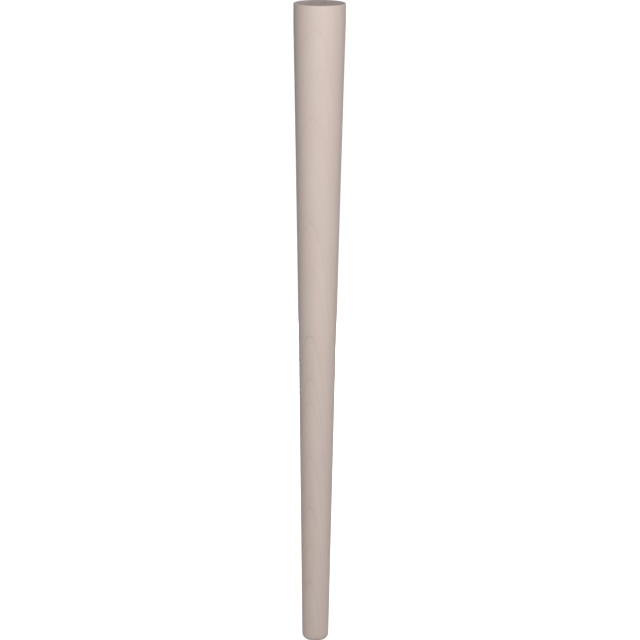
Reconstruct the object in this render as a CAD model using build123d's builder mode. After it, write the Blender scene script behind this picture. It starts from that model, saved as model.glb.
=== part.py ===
from build123d import *
from math import cos, radians, tan
import os

# A round table leg, turned from one piece of wood, with a screw-in threaded
# insert sunk in its top end. The origin is the centre of the foot, where it
# stands on the floor, and the leg rises along Z. All sizes are in millimetres.

# Turned leg
leg_length = 710.0
head_diameter = 56.0
foot_diameter = 29.0
# The side is parallel this far below the top face, then it tapers to the foot
head_band = 20.0
# The blend that eases the parallel band into the taper
shoulder_radius = 400.0
# How far the tapered side dips inside a straight line at mid-length
taper_hollow = 0.7
rim_rounding = 1.0
foot_rounding = 6.5

# Screw-in insert, driven by a hexagon key
insert_length = 25.0
insert_core_diameter = 10.5
insert_thread_diameter = 13.0
insert_thread_pitch = 3.5
# Angle between the two flanks of the coarse outer thread
insert_flank_angle = 60.0
insert_crest_width = 0.5
# The lower end narrows over this length, so that it starts straight in the bore
insert_lead_in = 4.0
# Width of the flat ring that the lead-in leaves round the bolt hole
insert_nose_land = 1.0
# The insert sits this far below the top face, so the leg seats on wood
insert_sink = 2.0
socket_across_flats = 8.0
socket_depth = 7.0
socket_mouth_land = 0.3

# Bolt hole of an M8 thread, drawn at the diameter of the thread's core
bolt_core_diameter = 6.8
bolt_lead_in = 0.5

# Bore in the wood that the insert is screwed into
insert_fit_gap = 0.05
bore_overrun = 5.0
bore_mouth_margin = 0.5
drill_point_angle = 118.0

# Sizes and heights that follow from the ones above
head_radius = head_diameter / 2
foot_radius = foot_diameter / 2
insert_core_radius = insert_core_diameter / 2
insert_thread_radius = insert_thread_diameter / 2
insert_thread_height = insert_thread_radius - insert_core_radius
insert_top = leg_length - insert_sink
insert_bottom = insert_top - insert_length
socket_corner_radius = socket_across_flats / 2 / cos(radians(30))
socket_mouth_radius = socket_corner_radius + socket_mouth_land
bolt_core_radius = bolt_core_diameter / 2
nose_radius = bolt_core_radius + insert_nose_land
lead_in_slope = insert_lead_in / (insert_thread_radius - nose_radius)
bore_radius = insert_core_radius + insert_fit_gap
bore_bottom = insert_bottom - bore_overrun
mouth_radius = insert_thread_radius + bore_mouth_margin
drill_point_height = bore_radius / tan(radians(drill_point_angle / 2))
# The threaded blank runs one turn past the insert at each end, and is cut to length
blank_top = insert_top + insert_thread_pitch
blank_bottom = insert_bottom - insert_thread_pitch
# The outline that cuts the blank to length stays clear of the thread's crest
outline_radius = insert_thread_radius + insert_thread_height


def threaded_rod(bottom: float, top: float, thread_bottom: float, gap: float) -> Part:
    """Round rod with the insert's coarse thread from thread_bottom up to its top.

    The gap makes it thicker on every side, for the space that it is screwed into.
    The thread keeps one phase wherever it starts, so a ridge and its groove line up,
    and its root lies as deep inside the rod as its crest stands out.
    """
    flank_run = insert_thread_height * tan(radians(insert_flank_angle / 2))
    crest_half = insert_crest_width / 2 + gap
    root_half = crest_half + 2 * flank_run
    with BuildPart() as ridge:
        with BuildLine() as path:
            Helix(
                pitch=insert_thread_pitch,
                height=top - thread_bottom,
                radius=insert_core_radius,
                center=(0, 0, thread_bottom),
            )
        with BuildSketch(Plane(path.line @ 0, x_dir=(1, 0, 0), z_dir=path.line % 0)):
            Polygon(
                (-insert_thread_height, -root_half),
                (insert_thread_height + gap, -crest_half),
                (insert_thread_height + gap, crest_half),
                (-insert_thread_height, root_half),
                align=None,
            )
        sweep(path=path.line, is_frenet=True)
    turns_up = (thread_bottom - insert_bottom) / insert_thread_pitch
    with BuildPart() as rod:
        with BuildSketch(Plane.XY.offset(bottom)):
            Circle(insert_core_radius + gap)
        extrude(amount=top - bottom)
        add(ridge.part.rotate(Axis.Z, 360 * turns_up))
    return rod.part


# Insert: threaded sleeve, hexagon socket above, bolt hole right through
with BuildPart() as threaded_insert:
    add(threaded_rod(bottom=blank_bottom, top=blank_top, thread_bottom=blank_bottom, gap=0))
    # The outline cuts the blank to length and narrows the nose
    with BuildSketch(Plane.XZ):
        with BuildLine():
            Polyline(
                (0, insert_top),
                (outline_radius, insert_top),
                (outline_radius, insert_bottom + lead_in_slope * (outline_radius - nose_radius)),
                (nose_radius, insert_bottom),
                (0, insert_bottom),
                close=True,
            )
        make_face()
    revolve(axis=Axis.Z, mode=Mode.INTERSECT)
    with BuildSketch(Plane.XY.offset(insert_top)):
        RegularPolygon(radius=socket_across_flats / 2, side_count=6, major_radius=False)
    extrude(amount=-socket_depth, mode=Mode.SUBTRACT)
    with Locations((0, 0, insert_top)):
        Cone(
            bottom_radius=0,
            top_radius=socket_mouth_radius,
            height=socket_mouth_radius,
            align=(Align.CENTER, Align.CENTER, Align.MAX),
            mode=Mode.SUBTRACT,
        )
    with Locations((0, 0, insert_top - socket_depth)):
        CounterSinkHole(
            radius=bolt_core_radius,
            counter_sink_radius=bolt_core_radius + bolt_lead_in,
            depth=insert_length,
            counter_sink_angle=90,
        )

# Leg: turned profile, rounded at both ends, bored and grooved for the insert
with BuildPart() as turned_leg:
    with BuildSketch(Plane.XZ) as side:
        with BuildLine():
            foot_line = Line((0, 0), (foot_radius, 0))
            taper_line = SagittaArc(foot_line @ 1, (head_radius, leg_length - head_band), taper_hollow)
            Polyline(taper_line @ 1, (head_radius, leg_length), (0, leg_length), foot_line @ 0)
        make_face()
        fillet(side.vertices().sort_by(Axis.Y)[2], radius=shoulder_radius)
        fillet(side.vertices().group_by(Axis.Y)[-1].sort_by(Axis.X)[-1], radius=rim_rounding)
        fillet(side.vertices().group_by(Axis.Y)[0].sort_by(Axis.X)[-1], radius=foot_rounding)
    revolve(axis=Axis.Z)
    add(
        threaded_rod(
            bottom=bore_bottom,
            top=leg_length + insert_thread_pitch,
            thread_bottom=insert_bottom,
            gap=insert_fit_gap,
        ),
        mode=Mode.SUBTRACT,
    )
    with Locations((0, 0, leg_length)):
        Cone(
            bottom_radius=bore_radius,
            top_radius=mouth_radius,
            height=mouth_radius - bore_radius,
            align=(Align.CENTER, Align.CENTER, Align.MAX),
            mode=Mode.SUBTRACT,
        )
    with Locations((0, 0, bore_bottom)):
        Cone(
            bottom_radius=0,
            top_radius=bore_radius,
            height=drill_point_height,
            align=(Align.CENTER, Align.CENTER, Align.MAX),
            mode=Mode.SUBTRACT,
        )

turned_leg.part.label = "turned_leg"
threaded_insert.part.label = "threaded_insert"

os.makedirs("parts", exist_ok=True)
export_step(turned_leg.part, "parts/turned_leg.step")
export_step(threaded_insert.part, "parts/threaded_insert.step")
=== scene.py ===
"""Round tapered table leg of pale wood, with a screw-in insert sunk in its top end.

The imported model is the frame. The leg stands on the floor at the origin and rises along Z.
Both of its solids are replaced by finer meshes of the same form, turned by Geometry Nodes
from the same sizes. Lengths are in metres and colours are linear.
"""

from abc import ABC, abstractmethod
from collections.abc import Callable
from dataclasses import dataclass, fields, replace
from enum import Enum
import logging
from math import cos, pi, radians, sin, tan

import bpy
from bpy.types import ID, Material, Node, NodeSocket, NodeTree, Object, World
from mathutils import Matrix, Vector

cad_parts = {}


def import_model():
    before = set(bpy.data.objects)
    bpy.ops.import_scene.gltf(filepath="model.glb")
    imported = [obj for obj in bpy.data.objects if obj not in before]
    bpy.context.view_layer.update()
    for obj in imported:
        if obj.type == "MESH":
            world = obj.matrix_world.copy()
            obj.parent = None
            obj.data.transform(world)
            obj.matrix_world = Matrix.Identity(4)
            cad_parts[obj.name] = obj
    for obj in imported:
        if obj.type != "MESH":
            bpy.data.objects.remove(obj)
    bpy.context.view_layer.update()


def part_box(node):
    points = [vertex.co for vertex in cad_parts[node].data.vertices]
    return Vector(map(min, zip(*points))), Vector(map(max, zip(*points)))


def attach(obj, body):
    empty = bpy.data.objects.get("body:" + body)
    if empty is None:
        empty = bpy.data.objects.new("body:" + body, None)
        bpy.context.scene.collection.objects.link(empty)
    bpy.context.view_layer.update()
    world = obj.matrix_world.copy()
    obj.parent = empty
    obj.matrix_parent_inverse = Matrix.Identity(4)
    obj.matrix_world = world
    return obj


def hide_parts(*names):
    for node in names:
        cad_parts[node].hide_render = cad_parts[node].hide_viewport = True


log = logging.getLogger("table_leg")

Colour = tuple[float, float, float]
BODY = "root"
MM = 0.001


def operation(name: str, flipped: bool = False) -> Callable[..., "Quantity"]:
    """Makes a method of Quantity from one of Blender's Math operations.

    Args:
        name: Blender's name for the operation.
        flipped: whether the quantity is the second number instead of the first.

    Returns:
        The method, which takes the other number where the operation has one.
    """
    def method(self: "Quantity", *others: "Number") -> "Quantity":
        """Adds the operation's node to the sheet and returns its result."""
        terms = (self, *others)
        return self.sheet.math(name, *(reversed(terms) if flipped else terms))

    return method


class Quantity:
    """A number that a node sheet works out, often a different one at every point of a surface."""

    def __init__(self, sheet: "Sheet", socket: NodeSocket) -> None:
        """Keeps the sheet and the output socket that carries the number."""
        self.sheet = sheet
        self.socket = socket

    __add__ = operation("ADD")
    __radd__ = operation("ADD", flipped=True)
    __sub__ = operation("SUBTRACT")
    __rsub__ = operation("SUBTRACT", flipped=True)
    __mul__ = operation("MULTIPLY")
    __rmul__ = operation("MULTIPLY", flipped=True)
    __truediv__ = operation("DIVIDE")
    __rtruediv__ = operation("DIVIDE", flipped=True)
    __abs__ = operation("ABSOLUTE")
    sqrt = operation("SQRT")
    floor = operation("FLOOR")
    ceiling = operation("CEIL")
    nearest = operation("ROUND")
    fraction = operation("FRACT")
    at_least = operation("MAXIMUM")
    at_most = operation("MINIMUM")
    # 1 where the quantity is larger than the other number, otherwise 0
    over = operation("GREATER_THAN")
    # Angles are in radians
    sin = operation("SINE")
    cos = operation("COSINE")
    tan = operation("TANGENT")
    arctan = operation("ARCTANGENT")
    # Angle of the direction that runs this far up and the other number along
    arctan_over = operation("ARCTAN2")

    def __neg__(self) -> "Quantity":
        """The same number with the other sign."""
        return self * -1.0

    def swing(self, span: float) -> "Quantity":
        """Turns noise round 0.5 into a swing round 0, this far from end to end."""
        return (self - 0.5) * span

    def ease(self, low: float, high: float, way: str = "SMOOTHSTEP") -> "Quantity":
        """Rises from 0 to 1 between two numbers, and keeps still beyond them.

        Args:
            low: number at which the result is 0.
            high: number at which the result is 1, above or below the other.
            way: Blender's name for the kind of rise.

        Returns:
            The result.
        """
        limits = {"From Min": min(low, high), "From Max": max(low, high),
                  "To Min": float(low > high), "To Max": float(low <= high)}
        node = self.sheet.node("ShaderNodeMapRange", {"Value": self, **limits}, interpolation_type=way)
        return Quantity(self.sheet, node.outputs["Result"])


Number = Quantity | float | int
Feed = Quantity | NodeSocket | Node | Material | Colour | float | int


def between(start: Number, end: Number, share: Number) -> Number:
    """Number that lies a given share of the way from start to end."""
    return start + (end - start) * share


def length_of(a: Quantity, b: Quantity) -> Quantity:
    """Length of the line whose two legs at right angles are given."""
    return (a * a + b * b).sqrt()


def label(name: str) -> str:
    """Name of a value as it reads on a tree's input."""
    return name.replace("_", " ").title()


def add_object(data: ID) -> Object:
    """Puts a mesh, a lamp or a camera into the scene under its own name."""
    made = bpy.data.objects.new(data.name, data)
    bpy.context.scene.collection.objects.link(made)
    return made


class Sheet:
    """A node tree, with the short vocabulary in which this scene writes its formulas."""

    ROWS = 12
    STEP = (190.0, -170.0)

    def __init__(self, tree: NodeTree) -> None:
        """Keeps the tree, which may be of any kind."""
        self.tree = tree
        self.entry: Node | None = None
        self.exit: Node | None = None

    @classmethod
    def of_geometry(cls, name: str) -> "Sheet":
        """Starts a new Geometry Nodes tree.

        Args:
            name: name of the tree, as it shows in Blender.

        Returns:
            A sheet with a group input and a group output and nothing between them.
        """
        sheet = cls(bpy.data.node_groups.new(name, "GeometryNodeTree"))
        sheet.entry = sheet.node("NodeGroupInput")
        sheet.exit = sheet.node("NodeGroupOutput")
        return sheet

    @classmethod
    def of_look(cls, owner: Material | World) -> "Sheet":
        """Empties the tree of a material or a world.

        Args:
            owner: the material or world.

        Returns:
            A sheet for its tree.
        """
        owner.use_nodes = True
        owner.node_tree.nodes.clear()
        return cls(owner.node_tree)

    def node(self, kind: str, inputs: dict[str | int, Feed] | None = None, **settings: object) -> Node:
        """Adds a node beside the ones that are there.

        Args:
            kind: Blender's name for the type of node.
            inputs: what goes into its inputs, by their names or numbers.
            settings: properties of the node and their values.

        Returns:
            The new node.
        """
        column, row = divmod(len(self.tree.nodes), self.ROWS)
        made = self.tree.nodes.new(kind)
        made.location = (column * self.STEP[0], row * self.STEP[1])
        for name, value in settings.items():
            setattr(made, name, value)
        for key, value in (inputs or {}).items():
            self.feed(made.inputs[key], value)
        return made

    def feed(self, socket: NodeSocket, value: Feed) -> None:
        """Gives an input its value, by a link or as a constant.

        Args:
            socket: input to fill.
            value: a quantity, an output or a node's first output to link, or a plain value to set.
        """
        if isinstance(value, Quantity):
            value = value.socket
        elif isinstance(value, Node):
            value = value.outputs[0]
        if isinstance(value, NodeSocket):
            self.tree.links.new(value, socket)
        else:
            socket.default_value = (*value, 1.0) if socket.type == "RGBA" else value

    def math(self, kind: str, *terms: Number) -> Quantity:
        """Adds one Math node, by Blender's name for its kind, and returns its result."""
        node = self.node("ShaderNodeMath", dict(enumerate(terms)), operation=kind)
        return Quantity(self, node.outputs[0])

    def vector(self, *terms: Number) -> NodeSocket:
        """Puts three numbers together as a vector."""
        return self.node("ShaderNodeCombineXYZ", dict(enumerate(terms))).outputs[0]

    def parts(self, vector: NodeSocket) -> tuple[Quantity, Quantity, Quantity]:
        """Takes a vector apart into its three numbers."""
        node = self.node("ShaderNodeSeparateXYZ", {0: vector})
        return tuple(Quantity(self, socket) for socket in node.outputs)

    def take(self, name: str, value: float | int) -> Quantity:
        """Adds a named input to a Geometry Nodes tree.

        Args:
            name: name of the input.
            value: its standard value, which also says whether it is a whole number.

        Returns:
            What comes in there.
        """
        kind = "NodeSocketInt" if isinstance(value, int) else "NodeSocketFloat"
        self.tree.interface.new_socket(name, in_out="INPUT", socket_type=kind).default_value = value
        return Quantity(self, self.entry.outputs[name])

    def give(self, name: str, kind: str, value: Feed) -> None:
        """Adds a named output to a Geometry Nodes tree and fills it."""
        self.tree.interface.new_socket(name, in_out="OUTPUT", socket_type=kind)
        self.feed(self.exit.inputs[name], value)

    def call(self, tree: NodeTree, **inputs: Feed) -> NodeSocket:
        """Places another tree in this one, fills its inputs by name and returns its output."""
        named = {label(name): value for name, value in inputs.items()}
        return self.node("GeometryNodeGroup", named, node_tree=tree).outputs[0]

    def noise(self, at: Feed, scale: float, detail: float = 2.0, rough: float = 0.5) -> Quantity:
        """Fractal noise round 0.5, whose coarsest lumps fit scale times into a unit of length."""
        inputs = {"Vector": at, "Scale": scale, "Detail": detail, "Roughness": rough}
        return Quantity(self, self.node("ShaderNodeTexNoise", inputs).outputs["Fac"])

    def grains(self, at: Feed, scale: float, pointed: bool = False) -> tuple[Quantity, Quantity]:
        """Distance to the nearest of scattered round or pointed grains, and a random number of its own."""
        node = self.node("ShaderNodeTexVoronoi", {"Vector": at, "Scale": scale},
                         feature="F1", distance="MANHATTAN" if pointed else "EUCLIDEAN")
        return Quantity(self, node.outputs["Distance"]), self.parts(node.outputs["Color"])[0]

    def chance(self, of: Quantity) -> Quantity:
        """Random number from 0 to 1 that is always the same for the same quantity."""
        node = self.node("ShaderNodeTexWhiteNoise", {"W": of}, noise_dimensions="1D")
        return Quantity(self, node.outputs["Value"])

    def tint(self, base: Feed, over: Feed, share: Number) -> NodeSocket:
        """Lays one colour over another, of which a share from 0 to 1 shows."""
        return self.node("ShaderNodeMix", {0: share, 6: base, 7: over}, data_type="RGBA").outputs[2]

    def shaded(self, colour: NodeSocket, by: Quantity) -> NodeSocket:
        """Multiplies a colour by a number."""
        return self.node("ShaderNodeVectorMath", {0: colour, "Scale": by}, operation="SCALE").outputs[0]

    def relief(self, height: Quantity) -> NodeSocket:
        """Normal of a surface that stands out by a height in metres."""
        return self.node("ShaderNodeBump", {"Distance": 1.0, "Height": height}).outputs[0]


@dataclass(frozen=True)
class ThreadForm:
    """Section of a thread whose crests and roots are flat and whose flanks meet at an angle."""

    DRAWN_BY = ("root", "crest", "pitch", "crest_half", "flank")

    root: float
    crest: float
    pitch: float
    crest_half: float
    flank_angle: float = radians(60)

    @property
    def flank(self) -> float:
        """Height of a flank along the axis."""
        return (self.crest - self.root) * tan(self.flank_angle / 2)

    def sizes(self) -> dict[str, float]:
        """Numbers that draw the thread, by name."""
        return {part: getattr(self, part) for part in self.DRAWN_BY}

    def wider(self, gap: float) -> "ThreadForm":
        """Form of the space that holds this thread with a gap all round."""
        return replace(self, root=self.root + gap, crest=self.crest + gap, crest_half=self.crest_half + gap)


WOOD_THREAD = ThreadForm(root=5.25 * MM, crest=6.5 * MM, pitch=3.5 * MM, crest_half=0.25 * MM)
BOLT_THREAD = ThreadForm(root=3.4 * MM, crest=3.95 * MM, pitch=1.25 * MM, crest_half=0.08 * MM)
# Room between the insert and the bore, and between the insert's crests and the bore's mouth
FIT_GAP = 0.05 * MM
MOUTH_MARGIN = 0.5 * MM


class Lathe:
    """The two node groups that turned pieces are made with: a skin round Z, and a thread's radius."""

    def __init__(self) -> None:
        """Builds both groups."""
        self.skin_tree = self._skin_group()
        self.thread_tree = self._thread_group()

    @staticmethod
    def on_skin(sheet: Sheet) -> tuple[Quantity, Quantity]:
        """Shares of the turn round Z, from +X, and of the way along the outline, at a point of a skin."""
        across, along, _ = sheet.parts(sheet.node("GeometryNodeInputPosition").outputs[0])
        return across + 0.5, along + 0.5

    def _skin_group(self) -> NodeTree:
        """Makes the group that wraps a grid round Z, a row of faces for each step along the outline.

        Returns:
            The group.
        """
        sheet = Sheet.of_geometry("Turned Skin")
        rows, segments = sheet.take("Rows", 1), sheet.take("Segments", 96)
        radius, height = sheet.take("Radius", 10 * MM), sheet.take("Height", 0.0)
        grid = sheet.node("GeometryNodeMeshGrid", {
            "Size X": 1.0, "Size Y": 1.0, "Vertices X": segments + 1, "Vertices Y": rows + 1})
        angle = self.on_skin(sheet)[0] * (2 * pi)
        place = sheet.vector(radius * angle.cos(), radius * angle.sin(), height)
        skin = sheet.node("GeometryNodeSetPosition", {"Geometry": grid, "Position": place})
        sheet.give("Skin", "NodeSocketGeometry", skin)
        return sheet.tree

    @staticmethod
    def _thread_group() -> NodeTree:
        """Makes the group for a right-handed thread's radius at a height and a share of the turn.

        Returns:
            The group.
        """
        sheet = Sheet.of_geometry("Screw Thread")
        height, around, start = (sheet.take(name, 0.0) for name in ("Height", "Around", "Start"))
        root, crest, pitch, crest_half, flank = (
            sheet.take(label(part), value) for part, value in WOOD_THREAD.sizes().items())
        turns = (height - start) / pitch - around
        off_ridge = abs(turns - turns.nearest()) * pitch
        fall = ((off_ridge - crest_half) / flank).at_least(0.0).at_most(1.0)
        sheet.give("Radius", "NodeSocketFloat", between(crest, root, fall))
        return sheet.tree


class Turning:
    """A piece on the lathe: its tree, its sizes as inputs of the tree, and the cuts that shape it.

    At every point of a skin, turn is the share of the turn round Z, counted from +X, and share is
    the share of the way along the outline.
    """

    def __init__(self, lathe: Lathe, name: str, sizes: dict[str, float | int]) -> None:
        """Starts the tree of a piece.

        Args:
            lathe: the groups that its skins are made with.
            name: name of the tree.
            sizes: numbers of the piece, by name.
        """
        self.lathe = lathe
        self.sheet = Sheet.of_geometry(name)
        self.size = {key: self.sheet.take(label(key), value) for key, value in sizes.items()}
        self.turn, self.share = lathe.on_skin(self.sheet)

    def skin(self, rows: Quantity | str, radius: Number, height: Number) -> NodeSocket:
        """Turns one stretch of the surface.

        Args:
            rows: rows of faces along the stretch, or the first word of the field that holds them.
            radius: distance from the axis, at every point.
            height: height above the floor, at every point.

        Returns:
            The stretch as geometry.
        """
        if isinstance(rows, str):
            rows = self.size[f"{rows}_rows"]
        return self.sheet.call(self.lathe.skin_tree, rows=rows, segments=self.size["segments"],
                               radius=radius, height=height)

    def thread(self, name: str, start: Number, height: Number) -> Quantity:
        """Reads the radius of a thread.

        Args:
            name: field of the piece that holds the thread.
            start: height of the first ridge at +X.
            height: height above the floor.

        Returns:
            The radius there.
        """
        form = {part: self.size[f"{name}_{part}"] for part in ThreadForm.DRAWN_BY}
        place = {"start": start, "height": height, "around": self.turn}
        return Quantity(self.sheet, self.sheet.call(self.lathe.thread_tree, **place, **form))

    def winding(self, name: str, start: Number, first: Number, last: Number) -> tuple[Quantity, Quantity]:
        """Lays out a wall whose rows climb with a thread, in whole turns, so that its seam closes.

        Args:
            name: field of the piece that holds the thread.
            start: height of the first ridge at +X.
            first: height at which the wall starts.
            last: height at which the wall ends, above or below the first.

        Returns:
            How many rows the wall has, and its height at every point, kept between its two ends.
        """
        pitch, steps = self.size[f"{name}_pitch"], self.size[f"{name}_steps"]
        low, high = first.at_most(last), first.at_least(last)
        lowest = ((low - start) / pitch).floor() - 1.0
        highest = ((high - start) / pitch).ceiling()
        upward = last.over(first)
        begin, end = between(highest, lowest, upward), between(lowest, highest, upward)
        climb = between(begin, end, self.share) + self.turn
        return (highest - lowest) * steps, (start + pitch * climb).at_least(low).at_most(high)


@dataclass
class TurnedPiece(ABC):
    """A closed solid of one material, turned round Z. A subclass's fields are the inputs of its tree."""

    SHARP_EDGE = radians(28)
    WELD = 0.002 * MM

    @property
    @abstractmethod
    def names(self) -> tuple[str, str, str]:
        """Names of the new piece, of the solid that it stands for and of the finish's slot, which nothing
        uses.
        """

    @abstractmethod
    def skins(self, turning: Turning) -> list[NodeSocket]:
        """Turns the surface, from the foot's centre outwards, up the side and back down inside.

        Args:
            turning: the piece on the lathe.

        Returns:
            The stretches of the surface in order.
        """

    def sizes(self) -> dict[str, float | int]:
        """Flattens the fields to numbers, those of a thread under the thread's name and their own.

        Returns:
            The numbers by name.
        """
        numbers = {}
        for field in fields(self):
            value = getattr(self, field.name)
            if isinstance(value, ThreadForm):
                numbers |= {f"{field.name}_{part}": number for part, number in value.sizes().items()}
            else:
                numbers[field.name] = value
        return numbers

    def tree(self, lathe: Lathe, finish: Material) -> NodeTree:
        """Builds the Geometry Nodes tree of the whole piece.

        Args:
            lathe: the groups that it is made with.
            finish: material of the piece.

        Returns:
            The tree, with an input for each size.
        """
        turning = Turning(lathe, self.names[0], self.sizes())
        sheet = turning.sheet
        shape = sheet.node("GeometryNodeJoinGeometry")
        for skin in reversed(self.skins(turning)):
            sheet.feed(shape.inputs[0], skin)
        shape = sheet.node("GeometryNodeMergeByDistance", {"Geometry": shape, "Distance": self.WELD})
        shape = sheet.node("GeometryNodeSetShadeSmooth", {"Geometry": shape}, domain="FACE")
        bend = Quantity(sheet, sheet.node("GeometryNodeInputMeshEdgeAngle").outputs["Unsigned Angle"])
        crease = {"Geometry": shape, "Selection": bend.over(self.SHARP_EDGE), "Shade Smooth": False}
        shape = sheet.node("GeometryNodeSetShadeSmooth", crease, domain="EDGE")
        shape = sheet.node("GeometryNodeRealizeInstances", {"Geometry": shape})
        shape = sheet.node("GeometryNodeSetMaterial", {"Geometry": shape, "Material": finish})
        sheet.give("Geometry", "NodeSocketGeometry", shape)
        return sheet.tree

    def make(self, lathe: Lathe, finish: Material) -> None:
        """Turns the piece, makes it a plain mesh and puts it in the place of its solid.

        Args:
            lathe: the groups that it is made with.
            finish: material of the piece.
        """
        name, node, slot = self.names
        piece = add_object(bpy.data.meshes.new(name))
        modifier = piece.modifiers.new("turning", "NODES")
        modifier.node_group = self.tree(lathe, finish)
        identifiers = {s.name: s.identifier for s in modifier.node_group.interface.items_tree
                       if s.in_out == "INPUT"}
        for size, value in self.sizes().items():
            modifier[identifiers[label(size)]] = value
        shown = piece.evaluated_get(bpy.context.evaluated_depsgraph_get())
        plain = bpy.data.meshes.new_from_object(shown)
        piece.modifiers.clear()
        blank, piece.data = piece.data, plain
        bpy.data.meshes.remove(blank)
        plain.name = name
        plain.materials.clear()
        plain.materials.append(finish)
        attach(piece, BODY)
        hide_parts(node)
        log.info("%s: %d faces, in the place of %s", name, len(plain.polygons), node)


@dataclass
class TableLeg(TurnedPiece):
    """The leg: one piece of wood, parallel at the head, hollow-tapered to a rounded foot, and bored."""

    length: float
    head_radius: float
    insert_bottom: float
    foot_radius: float = 14.5 * MM
    head_band: float = 20 * MM
    shoulder_radius: float = 400 * MM
    taper_hollow: float = 0.7 * MM
    rim_rounding: float = 1 * MM
    foot_rounding: float = 6.5 * MM
    groove: ThreadForm = WOOD_THREAD.wider(FIT_GAP)
    mouth_radius: float = WOOD_THREAD.crest + MOUTH_MARGIN
    bore_overrun: float = 5 * MM
    drill_angle: float = radians(118)

    # Faces round the leg, along each stretch of its outline and along one turn of the groove
    segments: int = 144
    sole_rows: int = 3
    foot_rows: int = 16
    taper_rows: int = 120
    shoulder_rows: int = 6
    band_rows: int = 4
    rim_rows: int = 8
    top_rows: int = 8
    groove_steps: int = 14
    point_rows: int = 4

    @property
    def names(self) -> tuple[str, str, str]:
        """Names of the piece, its solid and its slot, the last of which nothing uses."""
        return "leg_turning", "turned_leg", "leg_wood"

    @staticmethod
    def _outside(turning: Turning) -> list[NodeSocket]:
        """Turns foot, taper, shoulder, band, rim and top face.

        Args:
            turning: the leg on the lathe.

        Returns:
            The stretches in order.
        """
        size, share = turning.size, turning.share
        head, foot, length = size["head_radius"], size["foot_radius"], size["length"]
        run = length - size["head_band"]
        slope = (head - foot) / run
        # The taper is a parabola, which dips by the hollow halfway up
        sag = size["taper_hollow"] * 4.0
        dip = sag / run

        # The foot's rounding touches the floor and the taper, whose side leans out by foot_lean
        turn_in, foot_lean = size["foot_rounding"], (slope - dip).arctan()
        flat = foot + turn_in * (foot_lean.tan() - 1.0 / foot_lean.cos())
        foot_angle = between(-pi / 2, -foot_lean, share)
        taper_start = turn_in * (1.0 - foot_lean.sin())

        # The shoulder's long rounding ends the taper and runs into the parallel band
        shoulder, head_lean = size["shoulder_radius"], (slope + dip).arctan()
        band_start = run + shoulder * (head_lean / 2.0).tan()
        shoulder_angle = between(-head_lean, 0.0, share)
        taper_end = band_start - shoulder * head_lean.sin()

        height = between(taper_start, taper_end, share)
        climb = height / run
        taper = between(foot, head, climb) - sag * climb * (1.0 - climb)
        rim, rim_angle = size["rim_rounding"], share * (pi / 2)
        return [
            turning.skin("sole", flat * share, 0.0),
            turning.skin("foot", flat + turn_in * foot_angle.cos(), turn_in * (1.0 + foot_angle.sin())),
            turning.skin("taper", taper, height),
            turning.skin("shoulder", head - shoulder * (1.0 - shoulder_angle.cos()),
                         band_start + shoulder * shoulder_angle.sin()),
            turning.skin("band", head, between(band_start, length - rim, share)),
            turning.skin("rim", head - rim * (1.0 - rim_angle.cos()),
                         length - rim * (1.0 - rim_angle.sin())),
            turning.skin("top", between(head - rim, size["mouth_radius"], share), length),
        ]

    def skins(self, turning: Turning) -> list[NodeSocket]:
        """Turns the outside, then the bore with countersunk mouth, grooved wall and drill point.

        Args:
            turning: the leg on the lathe.

        Returns:
            The stretches in order.
        """
        size, share = turning.size, turning.share
        length, start = size["length"], size["insert_bottom"]
        bore, mouth = size["groove_root"], size["mouth_radius"]
        bottom = start - size["bore_overrun"]
        rows, height = turning.winding("groove", start, length, bottom)
        groove = turning.thread("groove", start, height)
        # The groove runs out over the last half turn below the insert
        depth = ((height - start) / (size["groove_pitch"] / 2.0) + 1.0).at_least(0.0).at_most(1.0)
        wall = between(bore, groove, depth).at_least(mouth - (length - height))
        drill_point = bore / (size["drill_angle"] / 2.0).tan()
        return self._outside(turning) + [
            turning.skin(rows, wall, height),
            turning.skin("point", bore * (1.0 - share), bottom - drill_point * share),
        ]


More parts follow.
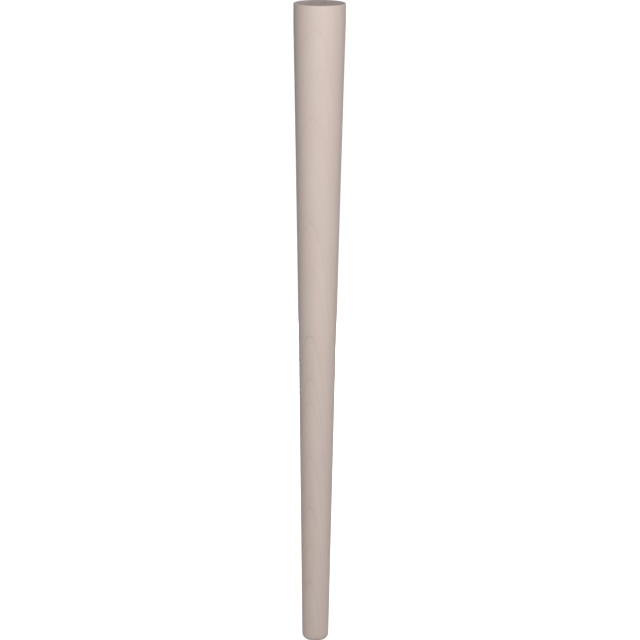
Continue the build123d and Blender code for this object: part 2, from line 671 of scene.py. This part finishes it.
@dataclass
class ScrewInSleeve(TurnedPiece):
    """The insert: a steel sleeve, coarse wood thread outside, hexagon socket and M8 thread inside."""

    bottom: float
    top: float
    thread: ThreadForm = WOOD_THREAD
    lead_in: float = 4 * MM
    nose_land: float = 1 * MM
    socket_half_width: float = 4 * MM
    socket_depth: float = 7 * MM
    socket_mouth_land: float = 0.3 * MM
    bolt: ThreadForm = BOLT_THREAD
    bolt_lead_in: float = 0.5 * MM

    # Faces round the sleeve, along one turn of each thread and along each stretch of its outline
    segments: int = 72
    thread_steps: int = 14
    bolt_steps: int = 12
    nose_rows: int = 2
    ring_rows: int = 3
    chamfer_rows: int = 4
    socket_rows: int = 6
    floor_rows: int = 2

    @property
    def names(self) -> tuple[str, str, str]:
        """Names of the piece, its solid and its slot, the last of which nothing uses."""
        return "insert_sleeve", "threaded_insert", "insert_metal"

    def skins(self, turning: Turning) -> list[NodeSocket]:
        """Turns nose, threaded outside, top ring, hexagon socket and threaded bolt hole.

        Args:
            turning: the insert on the lathe.

        Returns:
            The stretches in order.
        """
        size, share = turning.size, turning.share
        bottom, top = size["bottom"], size["top"]
        floor = top - size["socket_depth"]
        outer_rows, outer = turning.winding("thread", bottom, bottom, top)
        bolt_rows, inner = turning.winding("bolt", bottom, floor, bottom)
        nose = between(self._bolt_radius(turning, bottom), self._nose_radius(turning), share)
        mouth = size["socket_half_width"] / cos(radians(30)) + size["socket_mouth_land"]
        ring = between(self._outer_radius(turning, top), mouth, share)
        hexagon = self._hexagon(turning)
        chamfer_end = top - mouth + hexagon
        socket_floor = between(hexagon, self._bolt_radius(turning, floor), share)
        return [
            turning.skin("nose", nose, bottom),
            turning.skin(outer_rows, self._outer_radius(turning, outer), outer),
            turning.skin("ring", ring, top),
            turning.skin("chamfer", between(mouth, hexagon, share), between(top, chamfer_end, share)),
            turning.skin("socket", hexagon, between(chamfer_end, floor, share)),
            turning.skin("floor", socket_floor, floor),
            turning.skin(bolt_rows, self._bolt_radius(turning, inner), inner),
        ]

    @staticmethod
    def _hexagon(turning: Turning) -> Quantity:
        """Distance from the axis to the socket's wall, which has a flat at +X."""
        sixth = turning.turn * 6.0 + 0.5
        return turning.size["socket_half_width"] / (sixth.fraction().swing(pi / 3)).cos()

    @staticmethod
    def _nose_radius(turning: Turning) -> Quantity:
        """Radius of the flat ring at the nose, round the bolt hole."""
        return turning.size["bolt_root"] + turning.size["nose_land"]

    def _outer_radius(self, turning: Turning, height: Quantity) -> Quantity:
        """Reads the radius of the coarse thread, narrowed by the lead-in at the nose.

        Args:
            turning: the insert on the lathe.
            height: height above the floor.

        Returns:
            The radius there.
        """
        size, nose = turning.size, self._nose_radius(turning)
        widening = (size["thread_crest"] - nose) / size["lead_in"]
        thread = turning.thread("thread", size["bottom"], height)
        return thread.at_most(nose + (height - size["bottom"]) * widening)

    @staticmethod
    def _bolt_radius(turning: Turning, height: Quantity) -> Quantity:
        """Reads the radius of the bolt's thread, widened where the bolt enters.

        Args:
            turning: the insert on the lathe.
            height: height above the floor.

        Returns:
            The radius there.
        """
        size = turning.size
        mouth = size["bolt_root"] + size["bolt_lead_in"]
        thread = turning.thread("bolt", size["bottom"], height)
        return thread.at_least(mouth - (size["top"] - size["socket_depth"] - height))


@dataclass(frozen=True)
class Rise:
    """A smooth rise from 0 where a quantity is at start to the top where it is at end.

    The end may be the smaller of the two, and a top below 0 makes the rise a fall.
    """

    start: float
    end: float
    top: float = 1.0

    def of(self, quantity: Quantity) -> Quantity:
        """Height of the rise at a quantity."""
        return quantity.ease(self.start, self.end) * self.top


@dataclass(frozen=True)
class Streaks:
    """Noise in the block of wood, by how many of its lumps fit into a metre each way."""

    sideways: float
    outwards: float
    upwards: float
    detail: float = 2.0


@dataclass(frozen=True)
class Stain:
    """A colour that lies over the wood, and how much of it shows where it is strongest."""

    colour: Colour
    share: float = 1.0


@dataclass(frozen=True)
class Ray:
    """One kind of ray in the wood: a thin upright sheet that runs out from the pith."""

    length: float
    thickness: float
    height: float
    rarity: float


@dataclass(frozen=True)
class Grain:
    """Where a point lies in the block of wood, and how squarely its face cuts the fibres and the rays."""

    sheet: Sheet
    point: NodeSocket
    side: Quantity
    outward: Quantity
    up: Quantity
    ring: Quantity
    off_axis: Quantity
    end_cut: Quantity
    ray_cut: Quantity

    def noise(self, streaks: Streaks) -> Quantity:
        """Noise of the block of wood at the point, from 0 to 1."""
        at = self.sheet.vector(self.side * streaks.sideways, self.outward * streaks.outwards,
                               self.up * streaks.upwards)
        return self.sheet.noise(at, 1.0, streaks.detail)


@dataclass(frozen=True)
class SandedBeech:
    """Pale beech, finely sanded and left raw, cut so that growth rings arch up the front of the leg.

    The figure is a block of wood: rings round a pith behind the leg, rays that run out from the
    pith, and fibres along Z. Sides, ends and bore all cut through the same block.
    """

    early_wood: Colour = (0.618, 0.522, 0.470)
    late_wood: Stain = Stain((0.500, 0.398, 0.342))
    ray: Stain = Stain((0.400, 0.285, 0.225), 0.42)
    vessel: Stain = Stain((0.400, 0.285, 0.225), 0.07)
    blush: Stain = Stain((0.632, 0.504, 0.444), 0.5)
    end_wood: Stain = Stain((0.545, 0.448, 0.422), 0.85)
    # Paler burnish, strong enough to serve as a painted highlight on the rim and painted light on the
    # foot's shaded underside
    worn: Stain = Stain((0.690, 0.600, 0.545), 0.75)
    # Painted shade: a dark tone laid on everything inside the bore's mouth
    drilled_wood: Stain = Stain((0.340, 0.270, 0.228), 0.9)

    # Behind the leg the pith leans away from it, towards the foot, so the rings surface one below another
    arch_azimuth: float = radians(-26.5)
    pith_distance: float = 100 * MM
    pith_lean: float = -0.074
    pith_side_lean: float = 0.0041
    ring_flatness: float = 1.45
    # How far the rings stray in long bends and in fine raggedness
    bend: Streaks = Streaks(30.0, 30.0, 7.0)
    bend_width: float = 1.2 * MM
    raggedness: Streaks = Streaks(900.0, 900.0, 160.0)
    ragged_width: float = 0.07 * MM

    # Years of the arches on the front, in millimetres from the head down, and the usual year elsewhere
    first_arch: float = 75.2 * MM
    arch_years: tuple[float, ...] = (2.3, 2.3, 2.4, 2.8, 3.1, 2.7, 3.9, 2.7, 1.5, 3.7, 3.0, 2.4, 2.5, 2.6)
    usual_year: float = 2.6 * MM
    uneven_years_per_metre: float = 140.0
    weather_seed: float = 228758.0

    # A year darkens slowly, then in a thin line, and breaks off. Its strength falls from the floor upwards
    late_shade: Rise = Rise(0.35, 0.97, 0.08)
    late_line: Rise = Rise(0.92, 0.975, 0.36)
    break_off: Rise = Rise(1.0, 0.988)
    faintest_year: float = 0.10
    ring_strength: float = 1.45
    paling_per_metre: float = 0.8

    rays: tuple[Ray, ...] = (
        Ray(length=30 * MM, thickness=0.85 * MM, height=5.5 * MM, rarity=0.30),
        Ray(length=14 * MM, thickness=0.42 * MM, height=2.7 * MM, rarity=0.10),
    )
    ray_edge: Rise = Rise(0.34, 0.14)
    commonest_ray: float = 0.95
    ray_seen_flat: float = 0.3

    vessels_per_metre: float = 4200.0
    vessel_stretch: float = 0.05
    vessel_edge: Rise = Rise(0.42, 0.22)
    vessel_kind: Rise = Rise(0.2, 0.6)

    fine_fibres: Streaks = Streaks(3200.0, 3200.0, 70.0)
    broad_fibres: Streaks = Streaks(700.0, 700.0, 11.0, detail=3.0)
    sanding: Streaks = Streaks(90.0, 90.0, 5200.0)
    saw_marks: Streaks = Streaks(40.0, 1500.0, 0.0, detail=3.0)
    warmth: Streaks = Streaks(34.0, 34.0, 12.0)
    warm_patch: Rise = Rise(0.35, 0.70)
    cloud: Streaks = Streaks(55.0, 55.0, 9.0, detail=3.0)

    # Where a face counts as cut across the fibres, and as cut along the rays
    end_facing: Rise = Rise(0.55, 0.95)
    ray_facing: Rise = Rise(0.15, 0.75)
    # How much of a sawn end's darker look the sanded foot keeps
    sanded_end: float = 0.15
    # The painted shade fills the bore from just outside its mouth's radius inwards
    drilled_edge: Rise = Rise(0.2 * MM, -0.1 * MM)

    # Burnishing of the rim and the foot, which also paints a highlight along the rim and painted light on
    # the foot's shaded underside, measured in their own roundings, and its patches
    worn_side: Rise = Rise(-1.3, -0.4)
    worn_top: Rise = Rise(-1.2, -0.3)
    worn_foot: Rise = Rise(0.7, 0.15)
    wear_patches_per_metre: float = 420.0
    wear_patch: Rise = Rise(0.35, 0.65)
    least_wear: float = 0.4

    # Swings in brightness on the sides, and what darkens or pales a sawn end
    cloud_shade: float = 0.10
    fibre_shade: float = 0.10
    sanding_shade: float = 0.02
    sawn_rings: float = 1.3
    sawn_vessels: float = 0.40
    sawn_rays: float = -0.20
    saw_shade: float = 0.10
    # The sawn end turns paler towards its left side
    sawn_flank: Rise = Rise(-3 * MM, -21 * MM, -0.30)

    # Heights of the figure above the surface, or depths where they are below 0
    fibre_relief: float = 0.010 * MM
    sanding_relief: float = 0.002 * MM
    ray_relief: float = 0.006 * MM
    ring_relief: float = -0.008 * MM
    vessel_relief: float = -0.004 * MM
    saw_relief: float = 0.020 * MM
    sawn_vessel_relief: float = -0.010 * MM

    specular: float = 0.16
    roughness: float = 0.60
    fibre_roughness: float = 0.16
    ray_roughness: float = -0.08
    wear_roughness: float = -0.10
    end_roughness: float = 0.12

    def make(self, leg: TableLeg) -> Material:
        """Builds the material.

        Args:
            leg: the leg that it is for, whose rim and foot take the wear and the painted light.

        Returns:
            The material.
        """
        material = bpy.data.materials.new("sanded_beech")
        sheet = Sheet.of_look(material)
        grain = self._grain(sheet)
        rings, rays, vessels = self._rings(grain), self._rays(grain), self._vessels(grain)
        fibres = (grain.noise(self.fine_fibres) + grain.noise(self.broad_fibres)) / 2.0
        sanding, saw = grain.noise(self.sanding), grain.noise(self.saw_marks)
        wear_and_painted_light = self._wear(grain, leg)
        sawn = grain.end_cut * between(self.sanded_end, 1.0, grain.up.over(leg.length / 2))

        colour = self.early_wood
        for stain, strength in (
            (self.blush, self.warm_patch.of(grain.noise(self.warmth))),
            (self.late_wood, rings),
            (self.ray, rays),
            (self.vessel, vessels),
            (self.end_wood, sawn),
            # Burnish, and with it the painted highlight on the rim and the painted light under the foot
            (self.worn, wear_and_painted_light),
            # Painted shade inside the bore
            (self.drilled_wood, self.drilled_edge.of(grain.off_axis - leg.mouth_radius)),
        ):
            colour = sheet.tint(colour, stain.colour, strength * stain.share)
        swing = (grain.noise(self.cloud).swing(self.cloud_shade) + fibres.swing(self.fibre_shade)
                 + sanding.swing(self.sanding_shade))
        colour = sheet.shaded(colour, 1.0 + swing)
        darker = (rings * self.sawn_rings + vessels * self.sawn_vessels + rays * self.sawn_rays
                  + saw.swing(self.saw_shade) + self.sawn_flank.of(grain.side))
        colour = sheet.shaded(colour, 1.0 - sawn * darker)

        height = (fibres * self.fibre_relief + sanding * self.sanding_relief + rays * self.ray_relief
                  + rings * self.ring_relief + vessels * self.vessel_relief
                  + sawn * (saw * self.saw_relief + vessels * self.sawn_vessel_relief))
        roughness = (self.roughness + fibres.swing(self.fibre_roughness) + rays * self.ray_roughness
                     + wear_and_painted_light * self.wear_roughness + grain.end_cut * self.end_roughness)
        wood = sheet.node("ShaderNodeBsdfPrincipled", {
            "Base Color": colour, "Roughness": roughness, "Normal": sheet.relief(height),
            "Specular IOR Level": self.specular})
        sheet.node("ShaderNodeOutputMaterial", {"Surface": wood})
        return material

    def _grain(self, sheet: Sheet) -> Grain:
        """Reads the place of a point in the block of wood.

        Args:
            sheet: tree of the material.

        Returns:
            The place, with how the face there lies to the fibres and the rays.
        """
        source = sheet.node("ShaderNodeTexCoord")
        x, y, z = sheet.parts(source.outputs["Object"])
        face_x, face_y, face_z = sheet.parts(source.outputs["Normal"])
        toward_x, toward_y = sin(self.arch_azimuth), -cos(self.arch_azimuth)
        side = x * -toward_y + y * toward_x + z * self.pith_side_lean
        outward = x * toward_x + y * toward_y + (z * self.pith_lean + self.pith_distance)
        face_side = face_x * -toward_y + face_y * toward_x
        face_outward = face_x * toward_x + face_y * toward_y
        along_ray = abs(face_side * side + face_outward * outward) / length_of(side, outward)
        end_cut = self.end_facing.of(abs(face_z))
        return Grain(sheet, source.outputs["Object"], side, outward, up=z, off_axis=length_of(x, y),
                     ring=length_of(side * self.ring_flatness, outward), end_cut=end_cut,
                     ray_cut=self.ray_facing.of(along_ray).at_least(end_cut))

    def _rings(self, grain: Grain) -> Quantity:
        """Darkness of the late wood: a faint shade that ends in a thin line, stronger in some years.

        Args:
            grain: place in the wood.

        Returns:
            The darkness there.
        """
        stray = (grain.noise(self.bend).swing(self.bend_width)
                 + grain.noise(self.raggedness).swing(self.ragged_width))
        years = self._years(grain.ring + stray)
        season = years.fraction()
        chance = grain.sheet.chance(years.floor() + self.weather_seed)
        strength = self.ring_strength - grain.up * self.paling_per_metre
        late = (self.late_line.of(season) + self.late_shade.of(season)) * self.break_off.of(season)
        return late * between(self.faintest_year, 1.0, chance) * strength

    def _years(self, ring: Quantity) -> Quantity:
        """Years grown out to a ring, counted from the first arch at the head.

        Args:
            ring: distance of the ring from the pith.

        Returns:
            A whole number where a year ends, and the share of the year between.
        """
        at = ring.sheet.vector(ring * self.uneven_years_per_metre, 0.0, 0.0)
        uneven = ring + ring.sheet.noise(at, 1.0, detail=1.0).swing(self.usual_year)
        start = self.first_arch
        years = ((uneven - start) / self.usual_year).at_most(0.0)
        for width in self.arch_years:
            years = years + ring.ease(start, start + width * MM, "LINEAR")
            start += width * MM
        return years + ((uneven - start) / self.usual_year).at_least(0.0)

    def _rays(self, grain: Grain) -> Quantity:
        """Flecks where rays are cut: dashes on front and back, broader flakes between, lines on the ends.

        Args:
            grain: place in the wood.

        Returns:
            How strongly a fleck shows there.
        """
        arc = grain.side.arctan_over(grain.outward) * self.pith_distance
        flecks = 0.0
        for ray in self.rays:
            at = grain.sheet.vector(grain.ring / ray.length, arc / ray.thickness, grain.up / ray.height)
            distance, kind = grain.sheet.grains(at, 1.0, pointed=True)
            fleck = self.ray_edge.of(distance) * kind.ease(ray.rarity, self.commonest_ray)
            flecks = fleck.at_least(flecks)
        return flecks * between(self.ray_seen_flat, 1.0, grain.ray_cut)

    def _vessels(self, grain: Grain) -> Quantity:
        """Vessels, which show as pinholes on the ends and as hair-thin lines on the sides.

        Args:
            grain: place in the wood.

        Returns:
            How strongly a vessel shows there.
        """
        at = grain.sheet.vector(grain.side, grain.outward, grain.up * self.vessel_stretch)
        distance, kind = grain.sheet.grains(at, self.vessels_per_metre)
        return self.vessel_edge.of(distance) * self.vessel_kind.of(kind)

    def _wear(self, grain: Grain, leg: TableLeg) -> Quantity:
        """Burnished rim and foot, where the leg is handled and stands, with a painted highlight on the rim
        and painted light on the foot's shaded underside.

        Args:
            grain: place in the wood.
            leg: the leg.

        Returns:
            How worn the wood is there, which is also how strongly the painted light shows.
        """
        from_side = (grain.off_axis - leg.head_radius) / leg.rim_rounding
        from_top = (grain.up - leg.length) / leg.rim_rounding
        # The rim's rounding gets burnish and a painted highlight, the foot's rounding burnish and painted
        # light on its shaded underside
        rim = self.worn_side.of(from_side) * self.worn_top.of(from_top)
        foot = self.worn_foot.of(grain.up / leg.foot_rounding)
        patches = grain.sheet.noise(grain.point, self.wear_patches_per_metre, detail=3.0, rough=0.6)
        return (rim + foot).at_most(1.0) * between(self.least_wear, 1.0, self.wear_patch.of(patches))


@dataclass(frozen=True)
class ZincPlate:
    """Dull zinc plate on turned steel, brighter on the thread's crests and greyer in its roots."""

    plate: Colour = (0.62, 0.62, 0.60)
    dull: Colour = (0.40, 0.41, 0.41)
    bright: Stain = Stain((0.74, 0.74, 0.73), 0.7)
    clouds_per_metre: float = 450.0
    marks_per_metre: float = 9000.0

    # The dull colour gathers in clouds and in the roots, the bright one on the crests
    cloud_dulling: Rise = Rise(0.45, 0.75, 0.5)
    root_dulling: Rise = Rise(0.5 * MM, 0.0, 0.3)
    crest_edge: Rise = Rise(-0.25 * MM, 0.0)

    mark_relief: float = 0.004 * MM
    cloud_relief: float = 0.003 * MM
    roughness: float = 0.34
    cloud_roughness: float = 0.25
    mark_roughness: float = 0.12
    crest_roughness: float = -0.08

    def make(self, sleeve: ScrewInSleeve) -> Material:
        """Builds the material.

        Args:
            sleeve: the insert that it is for, whose thread takes the wear.

        Returns:
            The material.
        """
        material = bpy.data.materials.new("zinc_plate")
        sheet = Sheet.of_look(material)
        point = sheet.node("ShaderNodeTexCoord").outputs["Object"]
        x, y, z = sheet.parts(point)
        radius = length_of(x, y)
        cloud = sheet.noise(point, self.clouds_per_metre, detail=4.0, rough=0.6)
        marks = sheet.noise(sheet.vector(radius, 0.0, z), self.marks_per_metre)
        crest = self.crest_edge.of(radius - sleeve.thread.crest)
        dulling = self.cloud_dulling.of(cloud) + self.root_dulling.of(radius - sleeve.thread.root)
        colour = sheet.tint(self.plate, self.dull, dulling.at_most(1.0))
        colour = sheet.tint(colour, self.bright.colour, crest * self.bright.share)
        roughness = (self.roughness + cloud.swing(self.cloud_roughness)
                     + marks.swing(self.mark_roughness) + crest * self.crest_roughness)
        relief = sheet.relief(marks * self.mark_relief + cloud * self.cloud_relief)
        zinc = sheet.node("ShaderNodeBsdfPrincipled", {
            "Base Color": colour, "Metallic": 1.0, "Roughness": roughness, "Normal": relief})
        sheet.node("ShaderNodeOutputMaterial", {"Surface": zinc})
        return material


@dataclass(frozen=True)
class WhiteFloor:
    """Floor that shows white and keeps a soft shadow where the leg stands."""

    paint: Colour = (0.73, 0.73, 0.73)
    glow: float = 0.90
    reach: float = 14.0
    sides: int = 96
    drop: float = 0.02 * MM

    def make(self) -> None:
        """Lays the floor as one round face just under the foot."""
        turn = [2 * pi * i / self.sides for i in range(self.sides)]
        mesh = bpy.data.meshes.new("studio_floor")
        mesh.from_pydata([(self.reach * cos(a), self.reach * sin(a), -self.drop) for a in turn], [],
                         [tuple(range(self.sides))])
        mesh.materials.append(self._material())
        floor = add_object(mesh)

    def _material(self) -> Material:
        """Mixes matt paint with a glow that only the camera and mirror surfaces see.

        Returns:
            The material.
        """
        material = bpy.data.materials.new("studio_floor")
        sheet = Sheet.of_look(material)
        paint = sheet.node("ShaderNodeBsdfDiffuse", {"Color": self.paint})
        glow = sheet.node("ShaderNodeEmission", {"Strength": seen_rays(sheet) * self.glow})
        both = sheet.node("ShaderNodeAddShader", {0: paint, 1: glow})
        sheet.node("ShaderNodeOutputMaterial", {"Surface": both})
        return material


def seen_rays(sheet: Sheet) -> Quantity:
    """Tells the rays that make an image of the surroundings from those that only light them.

    Args:
        sheet: tree of a material or a world.

    Returns:
        1 or 0.
    """
    path = sheet.node("ShaderNodeLightPath")
    camera, glossy, through = (Quantity(sheet, path.outputs[name])
                               for name in ("Is Camera Ray", "Is Glossy Ray", "Is Transmission Ray"))
    return camera.at_least(glossy).at_least(through)


class LampRole(Enum):
    """What a softbox does."""

    KEY = "key_softbox"
    REAR = "rear_softbox"


@dataclass(frozen=True)
class Softbox:
    """A square soft lamp that the camera doesn't see, turned towards a point on the leg's axis."""

    role: LampRole
    place: tuple[float, float, float]
    aim_height: float
    width: float
    power: float

    def make(self) -> None:
        """Hangs the lamp."""
        data = bpy.data.lights.new(self.role.value, "AREA")
        data.shape = "SQUARE"
        data.size = self.width
        data.energy = self.power
        lamp = add_object(data)
        aim = Vector((0.0, 0.0, self.aim_height)) - Vector(self.place)
        turn = aim.to_track_quat("-Z", "Y").to_matrix().to_4x4()
        lamp.matrix_world = Matrix.Translation(self.place) @ turn
        lamp.visible_camera = False


@dataclass(frozen=True)
class Studio:
    """White surroundings, a plain level of light from all sides and two softboxes."""

    around: float = 0.221
    shade: Colour = (0.975, 1.0, 1.045)
    white: Colour = (1.0, 1.0, 1.0)
    lamps: tuple[Softbox, ...] = (
        Softbox(LampRole.KEY, place=(0.20, -1.28, 1.06), aim_height=0.50, width=0.50, power=15.5),
        Softbox(LampRole.REAR, place=(0.0, 1.60, 0.38), aim_height=0.36, width=0.25, power=13.0),
    )

    def make(self) -> None:
        """Sets the world, the lamps and the way that colours are shown."""
        world = bpy.data.worlds.new("studio")
        sheet = Sheet.of_look(world)
        seen = seen_rays(sheet)
        light = sheet.node("ShaderNodeBackground", {
            "Color": sheet.tint(self.shade, self.white, seen), "Strength": between(self.around, 1.0, seen)})
        sheet.node("ShaderNodeOutputWorld", {"Surface": light})
        bpy.context.scene.world = world
        for lamp in self.lamps:
            lamp.make()
        bpy.context.scene.view_settings.view_transform = "Standard"


@dataclass(frozen=True)
class PortraitCamera:
    """The camera in front of the leg, found by laying the leg's outline on the photograph's."""

    frame_pixels: int = 640
    focal_pixels: float = 2986.5
    sensor_width: float = 36.0
    distance: float = 3.168
    height: float = 1.0947
    pitch_down: float = radians(12.986)
    yaw_right: float = radians(0.0496)
    roll: float = radians(0.413)
    farthest_seen: float = 100.0

    def make(self) -> None:
        """Sets the camera up and makes it the scene's."""
        data = bpy.data.cameras.new("portrait_camera")
        data.sensor_width = self.sensor_width
        data.lens = self.focal_pixels / self.frame_pixels * self.sensor_width
        data.clip_end = self.farthest_seen
        camera = add_object(data)
        turn = (Matrix.Rotation(-self.yaw_right, 4, "Z") @ Matrix.Rotation(pi / 2 - self.pitch_down, 4, "X")
                @ Matrix.Rotation(self.roll, 4, "Z"))
        camera.matrix_world = Matrix.Translation((0.0, -self.distance, self.height)) @ turn
        bpy.context.scene.camera = camera


def main() -> None:
    """Loads the frame, dresses its two pieces and sets the studio up round them."""
    logging.basicConfig(level=logging.INFO, format="%(name)s: %(message)s")
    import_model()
    leg_low, leg_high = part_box("turned_leg")
    insert_low, insert_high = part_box("threaded_insert")

    lathe = Lathe()
    leg = TableLeg(length=leg_high.z, head_radius=leg_high.x, insert_bottom=insert_low.z)
    leg.make(lathe, SandedBeech().make(leg))
    sleeve = ScrewInSleeve(bottom=insert_low.z, top=insert_high.z)
    sleeve.make(lathe, ZincPlate().make(sleeve))

    WhiteFloor().make()
    Studio().make()
    PortraitCamera().make()


if __name__ == "__main__":
    main()
